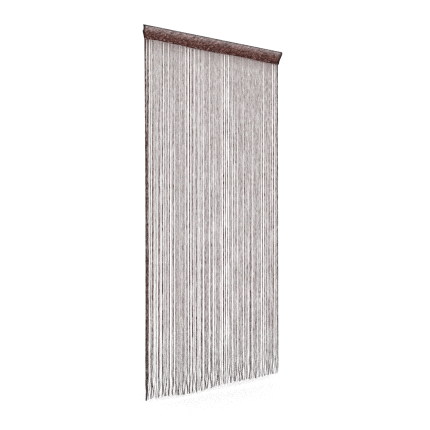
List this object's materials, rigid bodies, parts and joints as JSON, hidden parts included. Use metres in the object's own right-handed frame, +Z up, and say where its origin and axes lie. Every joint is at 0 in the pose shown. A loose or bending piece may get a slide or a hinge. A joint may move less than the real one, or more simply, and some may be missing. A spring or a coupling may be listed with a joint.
{
  "type": "string door curtain",
  "caption": "Door curtain of thin brown strings that hang free below a ribbed heading with a rod pocket.",
  "frame": {"origin": "middle of the heading's top edge, where the curtain is held up", "axes": "+Z up, +X along the width to the right as seen from the front, front faces -Y"},
  "size_m": [0.9184, 0.0282, 2.0163],
  "materials": {
    "heading_cloth": "matt ribbed knit in dark brown yarn",
    "string_yarn": "matt twisted yarn in dark brown"
  },
  "bodies": {
    "root": {"heading_sleeve": "heading_cloth", "string_panel": "string_yarn"}
  },
  "joints": []
}
